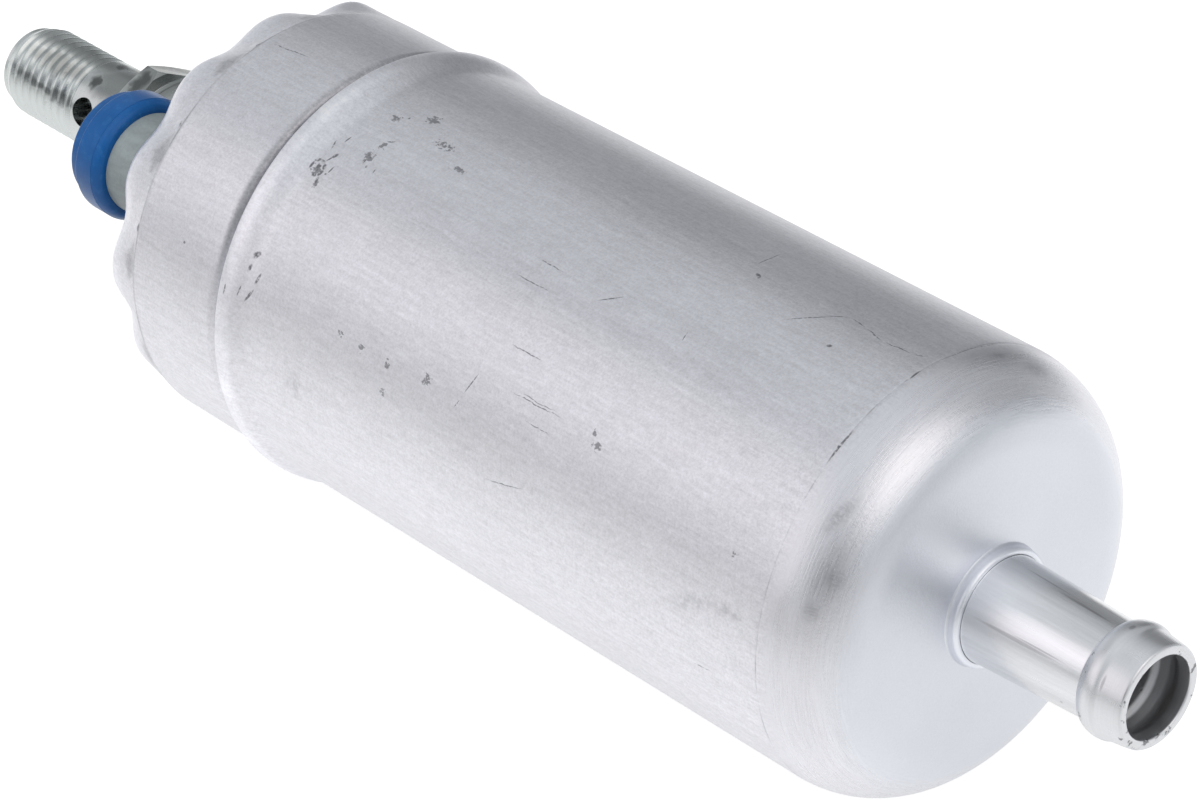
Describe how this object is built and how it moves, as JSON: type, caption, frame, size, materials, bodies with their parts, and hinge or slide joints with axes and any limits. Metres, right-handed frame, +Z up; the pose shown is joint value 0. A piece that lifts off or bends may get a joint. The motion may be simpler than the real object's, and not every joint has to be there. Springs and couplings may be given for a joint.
{
  "type": "fuel pump",
  "caption": "Inline electric fuel pump in a crimped aluminium can, with a hose spigot for the inlet, a threaded hollow outlet stud and a round terminal turret.",
  "frame": {"origin": "on the pump axis, where the holding clamp grips the straight wall, near the middle of the can", "axes": "+X along the pump axis towards the inlet spigot, +Z up, +Y to the left when looking along +X; the terminal turret lies on the -Y side, above the axis"},
  "size_m": [0.1918, 0.0542, 0.0542],
  "materials": {
    "can_aluminium": "satin drawn sheet",
    "spigot_aluminium": "bright turned",
    "cover_aluminium": "satin casting",
    "nipple_steel": "bright zinc plating",
    "copper": "dull copper",
    "blue_plastic": "satin",
    "grey_plastic": "matt",
    "pin_metal": "bright",
    "pump_steel": "ground sintered steel",
    "hard_steel": "polished",
    "spring_steel": "drawn wire",
    "bronze": "sintered",
    "valve_brass": "turned",
    "lamination_steel": "dark stacked sheet",
    "yoke_steel": "rolled sheet",
    "ferrite": "dark ceramic",
    "moulding": "glass-filled moulding",
    "carbon": "pressed carbon",
    "seal_rubber": "matt"
  },
  "bodies": {
    "housing": {"can": "can_aluminium", "inlet_spigot": "spigot_aluminium", "inlet_strainer": "valve_brass", "spacer_ring": "pump_steel", "inlet_plate": "pump_steel", "cam_ring": "pump_steel", "outlet_plate": "pump_steel", "plate_screws": "hard_steel", "inlet_bush": "bronze", "outlet_bush": "bronze", "rear_bush": "bronze", "flux_tube": "yoke_steel", "magnet_left": "ferrite", "magnet_right": "ferrite", "magnet_clips": "spring_steel", "brush_holder": "moulding", "brush_spring_left": "spring_steel", "brush_spring_right": "spring_steel", "lead_near": "copper", "lead_far": "copper", "end_cover": "cover_aluminium", "cover_seal": "seal_rubber", "terminal_turret": "grey_plastic", "terminal_collar": "blue_plastic", "terminal_pin_1": "pin_metal", "terminal_pin_2": "pin_metal", "outlet_nipple": "nipple_steel", "copper_washer": "copper", "check_spring": "spring_steel", "relief_spring": "spring_steel"},
    "armature": {"pump_rotor": "pump_steel", "roller_1": "hard_steel", "roller_2": "hard_steel", "roller_3": "hard_steel", "roller_4": "hard_steel", "roller_5": "hard_steel", "drive_shaft": "hard_steel", "armature_core": "lamination_steel", "armature_winding": "copper", "commutator": "copper", "commutator_hub": "moulding"},
    "check_valve": {"check_poppet": "valve_brass"},
    "relief_valve": {"relief_ball": "hard_steel"},
    "brush_left_body": {"brush_left": "carbon"},
    "brush_right_body": {"brush_right": "carbon"}
  },
  "joints": [
    {"name": "rotor_spin", "type": "hinge", "parent": "housing", "child": "armature", "pos_m": [0, 0, 0], "axis": [1, 0, 0], "continuous": true},
    {"name": "check_valve_lift", "type": "slide", "parent": "housing", "child": "check_valve", "axis": [-1, 0, 0], "range_m": [0, 0.002], "stiffness_N_per_m": 150, "springref_m": -0.003, "deforming": ["check_spring"]},
    {"name": "relief_valve_lift", "type": "slide", "parent": "housing", "child": "relief_valve", "axis": [1, 0, 0], "range_m": [0, 0.0012], "stiffness_N_per_m": 2000, "springref_m": -0.0028, "deforming": ["relief_spring"]},
    {"name": "brush_left_slide", "type": "slide", "parent": "housing", "child": "brush_left_body", "axis": [0, -1, 0], "range_m": [0, 0.0025], "stiffness_N_per_m": 300, "springref_m": -0.004, "deforming": ["brush_spring_left"]},
    {"name": "brush_right_slide", "type": "slide", "parent": "housing", "child": "brush_right_body", "axis": [0, 1, 0], "range_m": [0, 0.0025], "stiffness_N_per_m": 300, "springref_m": -0.004, "deforming": ["brush_spring_right"]}
  ]
}
